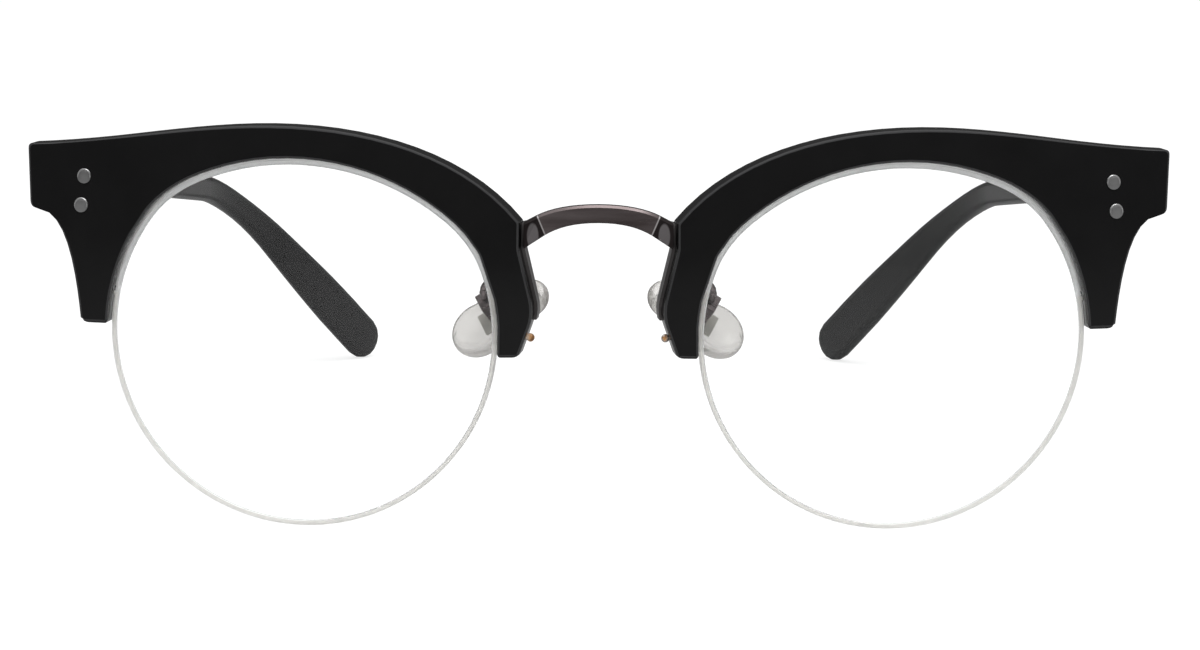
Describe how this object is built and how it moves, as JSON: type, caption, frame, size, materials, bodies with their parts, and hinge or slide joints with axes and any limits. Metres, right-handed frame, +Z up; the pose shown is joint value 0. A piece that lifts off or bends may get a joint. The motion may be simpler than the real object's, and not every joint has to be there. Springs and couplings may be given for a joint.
{
  "type": "browline glasses",
  "caption": "Round browline glasses with acetate brows on a metal saddle bridge, corded clear lenses, rocking nose pads and folding temples.",
  "frame": {"origin": "on the table, under the middle of the open glasses' bounding box", "axes": "+Z up off the table the glasses stand on; the lenses face -Y and the temples run to +Y; +X is the wearer's left"},
  "size_m": [0.1432, 0.1482, 0.0503],
  "materials": {
    "acetate": "polished black cellulose acetate",
    "gunmetal": "gunmetal plating, satin polish",
    "gunmetal_strip": "pale gunmetal plating, satin",
    "rivet": "pewter plating, turned face",
    "hinge_steel": "nickel silver, satin",
    "screw_steel": "stainless steel, machined",
    "core_steel": "drawn wire",
    "insert_steel": "stamped plate under silicone",
    "silicone": "clear silicone, slightly milky",
    "lens": "clear polished lens with a bare ground edge",
    "clear_nylon": "clear nylon liner strip",
    "cord_nylon": "clear nylon cord, slightly yellow"
  },
  "bodies": {
    "front": {"bridge": "gunmetal", "left_brow": "acetate", "left_front_rivets": "rivet", "left_front_hinge": "hinge_steel", "left_hinge_screw": "screw_steel", "left_bridge_foot": "gunmetal_strip", "left_foot_screws": "screw_steel", "left_pad_arm": "gunmetal", "left_pad_box": "gunmetal", "left_pad_screw": "screw_steel", "left_lens": "lens", "left_lens_liner": "clear_nylon", "left_lens_cord": "cord_nylon", "right_brow": "acetate", "right_front_rivets": "rivet", "right_front_hinge": "hinge_steel", "right_hinge_screw": "screw_steel", "right_bridge_foot": "gunmetal_strip", "right_foot_screws": "screw_steel", "right_pad_arm": "gunmetal", "right_pad_box": "gunmetal", "right_pad_screw": "screw_steel", "right_lens": "lens", "right_lens_liner": "clear_nylon", "right_lens_cord": "cord_nylon"},
    "left_temple": {"left_temple": "acetate", "left_temple_hinge": "hinge_steel", "left_temple_rivets": "rivet", "left_temple_core": "core_steel"},
    "right_temple": {"right_temple": "acetate", "right_temple_hinge": "hinge_steel", "right_temple_rivets": "rivet", "right_temple_core": "core_steel"},
    "left_pad": {"left_pad": "silicone", "left_pad_insert": "insert_steel"},
    "right_pad": {"right_pad": "silicone", "right_pad_insert": "insert_steel"}
  },
  "joints": [
    {"name": "left_temple_fold", "type": "hinge", "parent": "front", "child": "left_temple", "pos_m": [0.06563, -0.06024, 0.04295], "axis": [0, 0, 1], "range_deg": [0, 78]},
    {"name": "right_temple_fold", "type": "hinge", "parent": "front", "child": "right_temple", "pos_m": [-0.06563, -0.06024, 0.04295], "axis": [0, 0, -1], "range_deg": [0, 64]},
    {"name": "left_pad_rock", "type": "hinge", "parent": "front", "child": "left_pad", "pos_m": [0.0134, -0.0639, 0.0271], "axis": [-0.3644, -0.7431, -0.5612], "range_deg": [-10, 10]},
    {"name": "right_pad_rock", "type": "hinge", "parent": "front", "child": "right_pad", "pos_m": [-0.0134, -0.0639, 0.0271], "axis": [0.3644, -0.7431, -0.5612], "range_deg": [-10, 10]}
  ]
}
